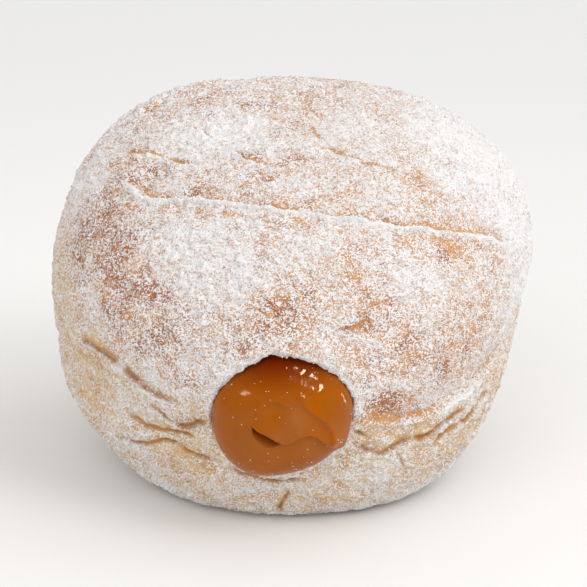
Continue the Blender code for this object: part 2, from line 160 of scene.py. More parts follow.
CREASES = (
    Crease(((-82, 47), (-77, 48), (-71, 49), (-63, 50), (-52, 54), (-36, 58), (-15, 59), (6, 57),
            (27, 51), (42, 44), (56, 36), (67, 28), (73, 22)), drop=1.7, reach=7.0, lip=0.7,
           wander=0.6, bare=0.7, band=0.22, dust=1.0),
    Crease(((48, 37), (51, 33), (53, 29), (56, 24)), drop=0.5, reach=3.0, cut=0.4, cut_width=0.6,
           bare=0.5),
    Crease(((-99, 40), (-97, 45), (-93, 51), (-87, 56), (-76, 61), (-62, 65)), drop=1.2, reach=4.0,
           lip=0.35, bare=1.0, band=0.2, dust=0.7),
    Crease(((-108, 61), (-103, 67), (-88, 71), (-66, 75), (-45, 75), (-30, 75), (-6, 74), (19, 76),
            (37, 76)), drop=1.0, reach=4.5, lip=0.3, wander=0.8, bare=0.6, band=0.15, dust=0.6),
    Crease(((129, 80), (76, 77), (61, 70), (61, 61), (66, 53)), cut=0.3, cut_width=0.4, wander=1.2,
           bare=0.6),
    Crease(((26, 32), (22, 29), (20, 27), (14, 26), (9, 25)), cut=0.25, cut_width=0.3, wander=1.2,
           bare=0.7),
    Crease(((150, 52), (128, 58), (104, 63), (84, 62)), drop=0.8, reach=5.0, wander=0.8, bare=0.4),
    Crease(((-170, 40), (-150, 47), (-132, 48), (-118, 44)), drop=0.9, reach=5.5, lip=0.2, bare=0.4),
    Crease(((-62, 12), (-51, 13), (-44, 12), (-39, 10), (-31, 8), (-26, 8)), drop=0.9, reach=3.0,
           cut=0.6, lip=0.55, bare=0.75, dust=1.0),
    Crease(((-36, 6), (-31, 2), (-27, 1), (-22, 4), (-18, 6)), drop=0.5, reach=2.0, cut=0.65, lip=0.4,
           bare=0.75, dust=0.8),
    Crease(((-46, -2), (-36, -3), (-28, -1), (-22, -2)), drop=0.4, reach=2.0, cut=0.5, bare=0.75,
           dust=0.4),
    Crease(((-52, -12), (-41, -9), (-32, -5), (-26, -6), (-16, -7)), drop=0.3, cut=0.55, bare=0.7,
           dust=0.4),
    Crease(((12, -2), (15, -5), (20, -8), (25, -7), (32, -8), (39, -7), (48, -6)), drop=0.8, reach=2.5,
           cut=0.7, cut_width=0.3, lip=0.2, bare=0.75, dust=0.5),
    Crease(((32, -12), (37, -10), (42, -10), (50, -10), (58, -8)), drop=0.4, reach=2.0, cut=0.5,
           dust=0.3),
    Crease(((24, -9), (25, -13), (27, -17)), cut=0.55, wander=1.0),
    Crease(((12, 3), (15, 0), (18, -4)), cut=0.6, dust=0.3),
    Crease(((15, 4), (20, 1), (25, -1), (31, -2), (41, -3), (52, -3), (64, 0), (80, 1)), drop=1.0,
           reach=3.0, lip=0.3, bare=0.4, dust=0.6),
    Crease(((-18, -8), (-10, -11), (-4, -13), (3, -13)), cut=0.6, wander=0.8),
    Crease(((-4, -13), (-3, -17), (-5, -21), (-5, -28)), cut=0.8, wander=1.2),
)

# Across a crease: where its foot and its dusted lip lie. Along it: its fading ends, strays and breaks.
CREASE_TAPER = 4.0 * MM
STRAY_SIZE = 0.045
STEP_WIDTH = 0.7 * MM
FOOT_OFFSET = 0.55 * MM
FOOT_WIDTH = 0.42 * MM
LIP_OFFSET = 0.35 * MM
LIP_WIDTH = 0.60 * MM
UNDER_OFFSET = 2.6 * MM
UNDER_WIDTH = 1.2 * MM
LIP_SPREAD = 0.6 * MM
BREAK_SIZE = 3.0 * MM
VARIATION_SIZE = 6.0 * MM
# How deep and narrow a cut must be for the full crack colour, which is partly painted shade, and that
# colour's width.
CRACK_DEPTH = 0.6 * MM
CRACK_WIDTH = 0.36 * MM
NARROW_CUT = 0.32 * MM

# Wrinkles round the sides and the back: start azimuth, end azimuth, latitude, wobble, depth in mm.
SIDE_WRINKLES = (
    (60, 138, 1, 2.5, 1.1),
    (74, 118, -8, 2.0, 0.7),
    (125, 205, -2, 3.0, 0.9),
    (150, 186, 8, 2.0, 0.6),
    (192, 262, 3, 3.0, 0.9),
    (214, 246, -7, 2.0, 0.6),
    (256, 300, -1, 2.5, 0.7),
    (272, 318, 8, 2.0, 0.5),
)
WRINKLE_STEP = 8
WRINKLE_WAVES = 2.5
WRINKLE_WIDTH = 0.6
WRINKLE_BARE = 0.4

# The sugar on the rim's upper side, and how ragged the rim's edge is.
RIM_SUGAR = 0.30
RIM_SUGAR_OFFSET = 0.6 * MM
RIM_SUGAR_WIDTH = 1.0 * MM
RIM_SUGAR_TURN = math.radians(35.0)
RIM_RAGGED = 0.45 * MM
RIM_RAGGED_SIZE = 0.9 * MM
RIM_RAGGED_WIDTH = 2.0 * MM
RIM_CALM = 2.5 * MM

# Fine relief: wave length and height. The brushed ridges run along one direction.
PUCKER_SIZE = 1.5 * MM
PUCKER_HEIGHT = 0.34 * MM
PUCKER_VALLEY = 0.10
SWELL_SIZE = 6.0 * MM
SWELL_HEIGHT = 0.25 * MM
BAND_LATITUDE = -1.0
BAND_SPREAD = 11.0
BAND_PATCH_SIZE = 9.0 * MM
BAND_WRINKLE_SIZE = 2.2 * MM
BAND_WRINKLE_HEIGHT = 0.42 * MM
BRUSH_WAY = Vector((0.72, -0.25, -0.65)).normalized()
BRUSH_SIZE = 1.3 * MM
BRUSH_STRETCH = 7.0
BRUSH_HEIGHT = 0.44 * MM
CAKE_SIZE = 1.1 * MM
CAKE_HEIGHT = 0.36 * MM
GRAIN_SIZE = 0.55 * MM
GRAIN_HEIGHT = 0.36 * MM

# Where the sugar lies thick or thin: azimuth, latitude, amount, spread in degrees.
SUGAR_PATCHES = (
    (-63, 38, -0.34, 10), (-50, 33, -0.30, 9), (-76, 33, -0.34, 8), (-79, 45, -0.20, 6),
    (-1, 31, -0.34, 8), (20, 4, -0.50, 5), (57, 17, -0.18, 7), (-52, 62, -0.26, 7), (36, 55, -0.12, 9),
    (-36, 24, -0.24, 10), (-10, 26, -0.10, 8), (38, 14, -0.18, 12), (20, 41, -0.22, 4),
    (18, 35, -0.18, 4), (-19, 40, -0.30, 3), (-94, 50, -0.40, 4), (-76, 61, -0.36, 3),
    (-39, 76, -0.35, 3), (19, 76, -0.40, 3), (66, 52, -0.25, 5), (-17, 51, -0.25, 2),
    (60, 48, -0.10, 6), (52, 34, -0.20, 5), (160, 66, -0.18, 14), (-150, 70, -0.14, 14),
    (-97, 73, 0.60, 12), (-27, 43, 0.26, 9), (-42, 45, 0.16, 6), (-12, 39, 0.24, 6), (77, 76, 0.12, 8),
    (98, 34, 0.50, 22), (26, 49, 0.14, 8), (46, -4, 0.16, 7), (-36, 5, 0.15, 7), (7, -19, 0.12, 12),
    (-58, 44, 0.18, 5), (36, 31, 0.20, 8), (28, 22, 0.14, 6), (-8, 22, 0.02, 6), (-24, -12, 0.12, 9),
    (150, 30, -0.22, 18), (-155, 25, -0.26, 16), (-120, 20, 0.14, 14), (180, 0, 0.1, 14),
    (120, -30, 0.1, 20), (-28, -7, -0.55, 8), (32, -4, -0.60, 5), (3, -24, -0.15, 10),
    (21, 4, -0.40, 4.5), (30, 25, -0.18, 15), (46, 12, -0.20, 13), (62, 25, -0.06, 12),
    (-50, 20, -0.10, 10), (-62, 5, -0.20, 12), (80, 12, 0.34, 14), (-40, -16, 0.15, 9),
)
SUGAR_LEVEL = 0.60
SUGAR_DRIFT_SIZE = 9.0 * MM
SUGAR_DRIFT = 0.22
SUGAR_MOTTLE_SIZE = 3.2 * MM
SUGAR_MOTTLE = 0.28
PUCKER_BARE = 0.14
PALE_BARE = 0.25
FOOT_SUGAR = 0.32
FOOT_SUGAR_LATITUDE = -20.0
FOOT_SUGAR_FADE = 14.0
POCKET_COVER = -0.2
DUST_COVER = 0.6
BARE_COVER = 1.3

# The latitude above which the crust is browned, at each azimuth. The waist and the underside are pale.
BROWN_EDGE_AZIMUTHS = (-180, -120, -84, -60, -45, -26, -14, 12, 25, 40, 60, 90, 130, 180)
BROWN_EDGE_LATITUDES = (9, 10, 25, 18, 13, 8, 6, 2, -4, -6, -3, 5, 8, 9)
BROWN_BLEND = 9.0
BROWN_RAGGED_SIZE = 6.0 * MM

# How dark the browned crust is at each azimuth: brown on the left, golden on the right.
RICH_AZIMUTHS = (-180, -120, -55, 22, 45, 75, 130, 180)
RICH_SHARES = (0.8, 1.0, 1.0, 0.82, 0.60, 0.5, 0.7, 0.8)

# Lines on the filling, over its right and up axes in mm.
FOLD_LINE = ((-5.2, 2.4), (-4.5, 2.05), (-2.9, 1.15), (-1.3, 0.2), (0.3, -0.85), (1.6, -0.9), (3.0, -0.2),
             (4.6, 0.3), (5.8, 0.1), (7.0, -1.2), (8.2, -3.0), (9.2, -5.4))
LOBE_LINE = ((3.0, 7.2), (3.7, 6.7), (4.5, 5.8), (5.6, 4.5), (6.7, 3.5), (7.7, 2.4), (8.6, 0.8),
             (9.0, -1.0), (9.0, -4.4))
ARCH_LINE = ((-4.0, 4.0), (-3.4, 5.0), (-2.5, 6.1), (-0.8, 6.8), (0.5, 6.6), (1.7, 6.0), (3.0, 5.6))

# Torn folds along those lines, whose left side stands higher: drop, reach and edge in mm.
FOLDS = ((FOLD_LINE, 0.85, 2.6, 0.5), (LOBE_LINE, 0.6, 3.2, 1.2))
FOLD_TAPER = 1.8 * MM

# Ridges along those lines, and their height in mm.
RIDGES = ((ARCH_LINE, 0.42), (LOBE_LINE, 0.32))
RIDGE_WIDTH = 0.75 * MM

# The pit, the hollow above it, the recess at the top, and the ripples on the torn lobe.
PIT = (-2.1, 0.65)
PIT_WAY = math.radians(-31.0)
PIT_HALF_LENGTH = 2.8 * MM
PIT_WIDTH = 2.5 * MM
PIT_SKEW = 0.15
PIT_EDGE = 0.35 * MM
PIT_DEPTH = 2.6 * MM
HOLLOW = (-0.5, 4.3)
HOLLOW_DEPTH = 0.8 * MM
HOLLOW_SPREAD = 2.4 * MM
RECESS_DEPTH = 2.2 * MM
RECESS_START = 6.5 * MM
RECESS_LENGTH = 4.0 * MM
RIPPLE_PATCHES = ((5.0, 8.2, 1.0, 2.2), (8.0, 6.4, 1.0, 2.4), (10.0, 3.2, 0.8, 1.8), (2.6, 0.8, 0.4, 2.0))
RIPPLE_SIZE = 0.8 * MM
RIPPLE_HEIGHT = 0.22 * MM

# The outline's small tip at the lower right, its closing at the rim, where the painted shade at the top
# begins, and the milky parts with their painted sheen and the glowing parts.
TIP_ANGLE = math.radians(-27.0)
TIP_SPREAD = math.radians(7.0)
TIP_REACH = 0.075
TIP_RING = 0.18
TIP_RINGS = 0.12
CLOSING = 0.4 * MM
CLOSING_RINGS = 0.25
PAINTED_SHADE_START = 6.0 * MM
MILK_AND_SHEEN_PATCHES = ((3.2, 3.4, 1.0, 2.3), (5.2, -2.4, 0.6, 3.0), (-3.5, -3.5, 0.4, 4.0), (0.2, 0.8, 0.5, 1.6))
GLOW_PATCHES = ((-0.5, 4.4, 1.0, 1.7), (6.5, 5.6, 1.0, 2.6), (9.2, -1.6, 1.0, 2.4), (6.4, 0.7, 0.8, 1.3),
                (-1.0, 8.5, 0.6, 3.0))

# Loose sugar: how many grains, their size from side to side, and how many more lie low down.
FINE_GRAINS = 16000
FINE_GRAIN_SIZE = 0.22 * MM
CLUMPS = 7000
CLUMP_SIZE = 0.34 * MM
SPECKS = 80
SPECK_SIZE = 0.13 * MM
SPECK_START_RING = 12
LOW_GRAINS = 4.0
LOW_GRAIN_HEIGHT = 10.0 * MM
BASE_CLEAR_HEIGHT = 0.05 * MM

# The camera and the lights, in metres, degrees and watts.
AIM = Vector((0.3, 3.2, 31.3)) * MM
DISTANCE = 0.520
ELEVATION = math.radians(20.0)
LENS = 172.0
FLOOR_RADIUS = 2.5
FLOOR_SIDES = 96
FLOOR_DROP = 0.02 * MM
# Where the light painted on the floor is full, and where it has faded out.
FLOOR_NEAR = 0.05
FLOOR_FAR = 0.30
WORLD_LIGHT = 0.85
SUNS = (
    ("key", (0.80, -0.05, 0.60), 0.97, 70.0),
    ("front", (-0.40, -0.80, 0.60), 0.80, 60.0),
)

# Panels of light: place, width, height, power, and whether each lights the gloss alone or all but that.
PANELS = (
    ("soft_box", (0.55, -0.45, 0.70), 0.40, 0.40, 2.2, False),
    ("right_gloss", (0.34, -0.32, 0.89), 0.16, 0.26, 11.0, True),
    ("upper_gloss", (-0.04, -0.24, 0.97), 0.10, 0.06, 0.8, True),
    ("low_gloss", (0.97, 0.10, 0.10), 0.08, 0.20, 1.0, True),
    ("left_gloss", (-0.72, -0.34, 0.58), 0.18, 0.28, 4.4, True),
)


def directions(azimuths, latitudes):
    """Unit vectors in the leaning frame for places given in degrees."""
    azimuth = np.radians(np.asarray(azimuths, float))
    latitude = np.radians(np.asarray(latitudes, float))
    level = np.cos(latitude)
    return np.stack([np.sin(azimuth) * level, -np.cos(azimuth) * level, np.sin(latitude)], axis=-1)


def places_of(rays):
    """Azimuths and latitudes in degrees of unit vectors in the leaning frame."""
    latitude = np.degrees(np.arcsin(np.clip(rays[:, 2], -1.0, 1.0)))
    return np.degrees(np.arctan2(rays[:, 0], -rays[:, 1])), latitude


def unit(vectors):
    return vectors / np.linalg.norm(vectors, axis=-1, keepdims=True)


def smooth_step(values):
    """0 below 0, 1 above 1, and a smooth ramp between."""
    share = np.clip(values, 0.0, 1.0)
    return share * share * (3.0 - 2.0 * share)


def smooth_max(values, floor, rounding):
    """The larger of values and floor, with a rounded corner where they meet."""
    near = np.maximum(rounding - np.abs(values - floor), 0.0)
    return np.maximum(values, floor) + near * near / (4.0 * rounding)


def bell(values, width):
    """1 where values are 0, falling smoothly to 0 over a few widths on both sides."""
    return np.exp(-((values / width) ** 2))


def fading(values, reach):
    """1 up to 0, then falling to about a third over each reach."""
    return np.exp(-np.maximum(values, 0.0) / reach)


def spot(rays, azimuth, latitude, spread):
    """A soft round patch: 1 along the ray to its middle, fading over its spread in degrees."""
    angle = np.arccos(np.clip(rays @ directions(azimuth, latitude), -1.0, 1.0))
    return bell(angle, math.radians(spread))


def noise_at(points, size, offset=0.0):
    """Smooth noise from about -1 to 1, with waves of this size. Each offset gives another pattern."""
    shifted = points / size + offset
    return np.array([noise.noise(point) for point in map(Vector, shifted)])


def pillow(rays):
    """Points of the plain pillow along unit rays from the dough's middle, in the leaning frame."""
    x, y, z = np.abs(rays).T
    across = (x / HALF_WIDTH) ** PLAN_FULLNESS + (y / HALF_WIDTH) ** PLAN_FULLNESS
    across **= 1 / PLAN_FULLNESS
    upper = rays[:, 2] >= 0
    fullness = np.where(upper, UPPER_FULLNESS, LOWER_FULLNESS)
    height = np.where(upper, UPPER_HEIGHT, LOWER_HEIGHT)
    radius = (across**fullness + (z / height) ** fullness) ** (-1 / fullness)
    growth = np.ones(len(rays))
    for azimuth, latitude, swell, spread in SWELLS:
        growth += swell * MM / HALF_WIDTH * spot(rays, azimuth, latitude, spread)
    return rays * (radius * growth)[:, None]


def tipping():
    """The turn from the leaning frame to the upright one."""
    return np.array(Matrix.Rotation(LEAN, 3, "X") @ Matrix.Rotation(ROLL, 3, "Y"))


def settle(points):
    """Points of the leaning frame, tipped into place and flattened where they meet the surface."""
    world = points @ tipping().T
    world[:, 2] = smooth_max(world[:, 2], -BASE_DEPTH, BASE_ROUNDING) + BASE_DEPTH
    return world + np.array(ORIGIN_SHIFT)


def even_line(points, step):
    """The same line with its points one step apart."""
    travelled = np.r_[0.0, np.cumsum(np.linalg.norm(np.diff(points, axis=0), axis=1))]
    wanted = np.linspace(0.0, travelled[-1], max(3, round(travelled[-1] / step) + 1))
    return np.stack([np.interp(wanted, travelled, column) for column in points.T], axis=-1)


def curve_through(knots, steps):
    """Points along a smooth curve through these knots, with this many steps from each to the next."""
    knots = np.vstack([2 * knots[0] - knots[1], knots, 2 * knots[-1] - knots[-2]])
    share = np.linspace(0.0, 1.0, steps, endpoint=False)[:, None]
    curve = []
    for before, start, end, after in zip(knots, knots[1:], knots[2:], knots[3:]):
        bend = 2 * before - 5 * start + 4 * end - after
        turn = 3 * start - before - 3 * end + after
        curve.append(start + 0.5 * share * ((end - before) + share * (bend + share * turn)))
    return np.vstack([*curve, knots[-2][None]])


def smooth_line(places, wander):
    """Points every CREASE_STEP along a wandering curve on the pillow through these places."""
    rays = unit(curve_through(directions(*zip(*places)), CREASE_CURVE_STEPS))
    stray = np.stack([noise_at(rays, STRAY_SIZE, 10.0 * axis) for axis in (1, 2, 3)], axis=-1)
    return even_line(pillow(unit(rays + math.radians(wander) * stray)), CREASE_STEP)


def side_wrinkles():
    """The waist's wrinkles as creases, each on a wobbling line of latitude."""
    made = []
    for start, end, latitude, wobble, depth in SIDE_WRINKLES:
        azimuths = np.arange(start, end + 1, WRINKLE_STEP)
        along = (azimuths - start) / (end - start)
        latitudes = latitude + wobble * np.sin(2 * math.pi * WRINKLE_WAVES * along + start)
        places = tuple(zip(azimuths, latitudes))
        made.append(Crease(places, cut=depth, cut_width=WRINKLE_WIDTH, bare=WRINKLE_BARE))
    return made


def point_tree(points):
    tree = kdtree.KDTree(len(points))
    for index, point in enumerate(points):
        tree.insert(point, index)
    tree.balance()
    return tree


def crease_line(crease):
    """The crease's line, and the way up across it at each of its points."""
    line = smooth_line(crease.places, crease.wander)
    return line, unit(np.cross(unit(line), np.gradient(line, axis=0)))


def crease_rows():
    """Rows of points along every crease, which keep its edges crisp."""
    lines = [crease_line(crease) for crease in CREASES]
    rows = [line + offset * MM * upward for offset in CREASE_ROWS for line, upward in lines]
    return pillow(unit(np.vstack(rows)))


def crease_relief(crease, points):
    """How far a crease lifts the dough at points, and how bare, dusted and cracked it leaves them, the
    crack's dark colour being partly painted shade.
    """
    sizes = (crease.drop, crease.reach, crease.cut, crease.cut_width, crease.lip)
    drop, reach, cut, cut_width, lip = (size * MM for size in sizes)
    line, upward = crease_line(crease)
    ends = np.minimum(np.arange(len(line)), np.arange(len(line))[::-1]) * CREASE_STEP
    tree = point_tree(line)
    centre = line.mean(axis=0)
    limit = np.linalg.norm(line - centre, axis=1).max() + 4.0 * reach
    near = np.flatnonzero(np.linalg.norm(points - centre, axis=1) < limit)
    places = points[near]
    index, distance = map(np.array, zip(*(tree.find(place)[1:] for place in places)))
    taper = smooth_step(ends / CREASE_TAPER)[index]
    above = np.copysign(distance, np.einsum("ij,ij->i", places - line[index], upward[index]))
    step = smooth_step(above / STEP_WIDTH + 0.3)
    shape = -drop * step * fading(above, reach)
    shape -= cut * bell(distance, cut_width)
    shape += lip * bell(above + LIP_OFFSET, LIP_SPREAD)
    shape *= np.clip(0.85 + 1.1 * noise_at(places, VARIATION_SIZE, 4.9), 0.3, 1.4)
    broken = np.clip(0.7 + 1.4 * noise_at(places, BREAK_SIZE, 9.3), 0.2, 1.0)
    bare = crease.bare * bell(above - (FOOT_OFFSET if drop > cut else 0.0), FOOT_WIDTH) * broken
    bare += crease.band * step * bell(np.maximum(above, 0.0), 0.5 * reach)
    bare += crease.band * bell(above + UNDER_OFFSET, UNDER_WIDTH) * broken
    dust = crease.dust * bell(above + LIP_OFFSET, LIP_WIDTH)
    # Painted shade: the crack's dark colour grows where the cut is deep and narrow.
    depth = min(cut / CRACK_DEPTH, 1.0) * min(NARROW_CUT / cut_width, 1.0) ** 2
    crack_and_shade = depth * bell(distance, CRACK_WIDTH) * np.clip(1.6 * broken, 0.3, 1.0)
    marks = np.zeros((4, len(points)))
    marks[:, near] = np.array([shape, bare, dust, crack_and_shade]) * taper
    return marks


def opening_frame():
    """The opening's middle on the pillow, and its axes: right, up and outward."""
    step = 1.0
    middle, beside, over = pillow(directions(
        (OPENING_AZIMUTH, OPENING_AZIMUTH + step, OPENING_AZIMUTH),
        (OPENING_LATITUDE, OPENING_LATITUDE, OPENING_LATITUDE + step)))
    right = unit(beside - middle)
    outward = unit(np.cross(right, over - middle))
    return middle, right, np.cross(outward, right), outward


def smooth_outline(angle):
    """The opening's outline without its notch, as a radius for each angle from its right side."""
    uneven = 1.0 + 0.037 * np.cos(2 * angle) + 0.055 * np.sin(2 * angle)
    uneven += 0.02 * np.cos(3 * angle + 0.6) + 0.012 * np.sin(5 * angle)
    return OPENING_RADIUS * uneven


def opening_radius(angle):
    off = np.angle(np.exp(1j * (angle - RIM_NOTCH_ANGLE)))
    return smooth_outline(angle) + RIM_NOTCH_DEPTH * bell(off, RIM_NOTCH_SPREAD)


def beyond_opening(points):
    """How far points on the front lie outside the opening's edge, and their angle round it."""
    middle, right, up, outward = opening_frame()
    offset = points - middle
    across, along = offset @ right, offset @ up
    angle = np.arctan2(along, across)
    beyond = np.hypot(across, along) - opening_radius(angle) - FIT_GAP
    return np.where(points @ outward > 0, beyond, HALF_WIDTH), angle


def rim_height(points):
    """The swollen lip round the opening, which rolls over inward at its edge, most at the top."""
    beyond, angle = beyond_opening(points)
    share = RIM_EVENNESS + (1.0 - RIM_EVENNESS) * np.sin(angle)
    roll = RIM_ROLL * share
    lip = RIM_HEIGHT * share * bell(np.maximum(beyond - roll, 0.0), RIM_WIDTH)
    inward = np.clip(1.0 - beyond / roll, 0.0, 1.0)
    return lip - roll * (1.0 - np.sqrt(1.0 - inward**2))


def rim_row(beyond):
    """A ring of points on the pillow at one distance outside the opening's edge."""
    middle, right, up, _ = opening_frame()
    wanted = opening_radius(OPENING_ANGLES) + FIT_GAP + beyond
    ways = np.cos(OPENING_ANGLES)[:, None] * right + np.sin(OPENING_ANGLES)[:, None] * up
    reach = wanted.copy()
    for _ in range(6):
        points = pillow(unit(middle + reach[:, None] * ways))
        offset = points - middle
        reach *= wanted / np.hypot(offset @ right, offset @ up)
    return points


def base_row():
    """The ring of points on the pillow where its flat base begins."""
    headings = np.linspace(0.0, 2 * math.pi, BASE_SIDES, endpoint=False)
    shallow = np.full(BASE_SIDES, math.radians(15.0))
    steep = np.full(BASE_SIDES, math.radians(90.0))
    for _ in range(30):
        slope = 0.5 * (shallow + steep)
        level = np.cos(slope)
        rays = np.stack([np.cos(headings) * level, np.sin(headings) * level, -np.sin(slope)], axis=-1)
        points = pillow(rays @ tipping())
        low = (points @ tipping().T)[:, 2] < -BASE_DEPTH - BASE_ROUNDING
        steep = np.where(low, slope, steep)
        shallow = np.where(low, shallow, slope)
    return points


def spread_points():
    """Evenly scattered points all over the pillow, closer together near the opening."""
    index = np.arange(SKIN_POINTS) + 0.5
    golden = math.pi * (1.0 + math.sqrt(5.0))
    height = 1.0 - 2.0 * index / SKIN_POINTS
    level = np.sqrt(1.0 - height**2)
    rays = np.stack([np.cos(golden * index) * level, np.sin(golden * index) * level, height], axis=-1)
    return pillow(unit(rays + CROWDING * directions(OPENING_AZIMUTH, OPENING_LATITUDE)))


def skin_points():
    """All points of the skin: the opening's rows first, then the base's ring and the rest."""
    shares = np.linspace(0.0, 1.0, RIM_ROW_COUNT)
    rows = [rim_row(RIM_REACH * MM * share**RIM_ROW_GROWTH) for share in shares] + [base_row()]
    fixed = np.vstack(rows)
    spread = np.vstack([crease_rows(), spread_points()])
    beyond, _ = beyond_opening(spread)
    low = (spread @ tipping().T)[:, 2] < BASE_CLEARANCE - BASE_DEPTH - BASE_ROUNDING
    points = np.vstack([fixed, spread[~low & (beyond > 0.0)]])
    tree = point_tree(points)
    kept = np.ones(len(points), bool)
    for index, point in enumerate(points):
        if kept[index]:
            close = [found[1] for found in tree.find_range(point, SKIN_CLEARANCE)]
            kept[[other for other in close if other > index and other >= len(fixed)]] = False
    return points[kept]


def skin_faces(points):
    """Triangles between points all round the pillow, found on a flat map seen from its top."""
    top = tipping()[2]
    first = unit(np.cross(directions(0, 0), top))
    second = np.cross(top, first)
    rays = unit(points)
    scale = 1.0 / (1.0 + rays @ top)
    chart = np.stack([rays @ first * scale, rays @ second * scale], axis=-1)
    found = geometry.delaunay_2d_cdt([Vector(place) for place in chart], [], [], 0, 1e-7, True)
    source = np.array([same[0] for same in found[3]])
    return source[np.array(found[2])]


def ring_faces(rings, tip):
    """Triangles between rings of point numbers, one after the other, closed by a last single point."""
    faces = []
    for outer, inner in zip(rings, rings[1:]):
        outer_after, inner_after = np.roll(outer, -1), np.roll(inner, -1)
        faces.append(np.stack([outer, inner, inner_after], axis=-1))
        faces.append(np.stack([outer, inner_after, outer_after], axis=-1))
    last = rings[-1]
    faces.append(np.stack([last, np.full(len(last), tip), np.roll(last, -1)], axis=-1))
    return np.vstack(faces)


def make_mesh(name, points, faces, material, values=None, smooth=True):
    """An object from arrays of points and triangles, with a float attribute for each named value."""
    mesh = bpy.data.meshes.new(name)
    mesh.vertices.add(len(points))
    mesh.vertices.foreach_set("co", np.asarray(points, np.float32).ravel())
    mesh.loops.add(3 * len(faces))
    mesh.loops.foreach_set("vertex_index", np.asarray(faces, np.int32).ravel())
    mesh.polygons.add(len(faces))
    mesh.polygons.foreach_set("loop_start", np.arange(0, 3 * len(faces), 3, dtype=np.int32))
    mesh.update(calc_edges=True)
    for label, numbers in (values or {}).items():
        stored = mesh.attributes.new(label, "FLOAT", "POINT")
        stored.data.foreach_set("value", np.asarray(numbers, np.float32))
    mesh.materials.append(material)
    if smooth:
        mesh.shade_smooth()
    made = bpy.data.objects.new(name, mesh)
    bpy.context.scene.collection.objects.link(made)
    return made


def inner_radius(depth):
    """Radius of the neck and the pocket at a depth behind the opening."""
    inside = 1.0 - ((depth - POCKET_MIDDLE) / POCKET_HALF_LENGTH) ** 2
    pocket = POCKET_RADIUS * math.sqrt(max(inside, 0.0))
    if depth > POCKET_MIDDLE:
        return pocket
    neck = OPENING_RADIUS * (1.0 - NECK_SHRINK * smooth_step(depth / NECK_LENGTH))
    return smooth_max(pocket, neck, POCKET_BLEND)


def inner_rings(grown):
    """Rings of the neck and the pocket, in the opening's axes and a little grown, and the last point."""
    outline = opening_radius(OPENING_ANGLES) / OPENING_RADIUS
    end = POCKET_MIDDLE + POCKET_HALF_LENGTH
    rings = []
    for share in np.linspace(0.0, 1.0, POCKET_RINGS + 1)[:-1]:
        depth = end * math.sin(share * math.pi / 2) ** POCKET_RING_CROWDING * LAST_RING_DEPTH
        depth += FIRST_RING_DEPTH * (1.0 - share)
        flat = 1.0 + (POCKET_FLATNESS - 1.0) * smooth_step((depth - NECK_LENGTH) / POCKET_FLATTENING)
        uneven = 1.0 + (outline - 1.0) * smooth_step(1.0 - depth / (2.0 * NECK_LENGTH))
        radius = inner_radius(depth) * uneven + grown
        across, along = radius * np.cos(OPENING_ANGLES), radius * np.sin(OPENING_ANGLES) * flat
        slant = DOME_SLANT * along * (1.0 - share) ** 3
        rings.append(np.stack([across, along, DOME_SEAT - depth - slant], axis=-1))
    return rings, np.array([[0.0, 0.0, DOME_SEAT - end - grown]])


def puckers(points):
    """Small rounded swellings with sharp valleys between: their height from 0 to 1, and the valleys."""
    wave = np.abs(noise_at(points, PUCKER_SIZE, 12.5))
    return wave, bell(wave, PUCKER_VALLEY)


def sugar_cover(points, bare, dust):
    """How thickly sugar covers the crust, from 0 for thin to 1 for white all over."""
    rays = unit(points)
    cover = np.full(len(points), SUGAR_LEVEL)
    for azimuth, latitude, amount, spread in SUGAR_PATCHES:
        cover += amount * spot(rays, azimuth, latitude, spread)
    cover += SUGAR_DRIFT * noise_at(points, SUGAR_DRIFT_SIZE, 3.7)
    cover += SUGAR_MOTTLE * noise_at(points, SUGAR_MOTTLE_SIZE, 8.1)
    cover -= PUCKER_BARE * puckers(points)[1] + PALE_BARE * (1.0 - browning(points))
    cover += FOOT_SUGAR * smooth_step((FOOT_SUGAR_LATITUDE - places_of(rays)[1]) / FOOT_SUGAR_FADE)
    return cover + DUST_COVER * dust - BARE_COVER * bare


def browning(points):
    """How brown the crust under the sugar is: 1 on top, 0 in the pale waist and underneath."""
    azimuth, latitude = places_of(unit(points))
    edge = np.interp(azimuth, BROWN_EDGE_AZIMUTHS, BROWN_EDGE_LATITUDES)
    ragged = 0.3 + 0.35 * noise_at(points, BROWN_RAGGED_SIZE, 5.3)
    return smooth_step((latitude - edge) / BROWN_BLEND + ragged)


def richness(points):
    """How dark the browned crust is, from 0 to 1: darkest on the left and golden on the right."""
    return np.interp(places_of(unit(points))[0], RICH_AZIMUTHS, RICH_SHARES)


def brushed(points):
    """Points squeezed along the brushing direction, so that noise there makes long ridges."""
    along = points @ np.array(BRUSH_WAY)
    return points - np.outer(along * (1.0 - 1.0 / BRUSH_STRETCH), np.array(BRUSH_WAY))


def crust_relief(points, cover):
    """Fine relief of the crust: puckers, the waist's small wrinkles, brushed ridges and caked sugar."""
    _, latitude = places_of(unit(points))
    relief = PUCKER_HEIGHT * (puckers(points)[0] - 0.2) + SWELL_HEIGHT * noise_at(points, SWELL_SIZE)
    band = bell(latitude - BAND_LATITUDE, BAND_SPREAD)
    squeezed = points * np.array((0.35, 0.35, 1.0))
    wrinkle = 1.0 - 2.0 * np.abs(noise_at(squeezed, BAND_WRINKLE_SIZE, 2.2))
    patches = 0.6 + noise_at(points, BAND_PATCH_SIZE, 6.6)
    relief += BAND_WRINKLE_HEIGHT * band * (wrinkle - 0.5) * patches
    relief += BRUSH_HEIGHT * (1.0 - 0.7 * band) * noise_at(brushed(points), BRUSH_SIZE, 1.1)
    caked = np.clip(cover, 0.0, 1.0)
    relief += CAKE_HEIGHT * caked * (0.4 + noise_at(points, CAKE_SIZE, 4.4))
    return relief + GRAIN_HEIGHT * (0.4 + 0.6 * caked) * noise_at(points, GRAIN_SIZE, 7.7)


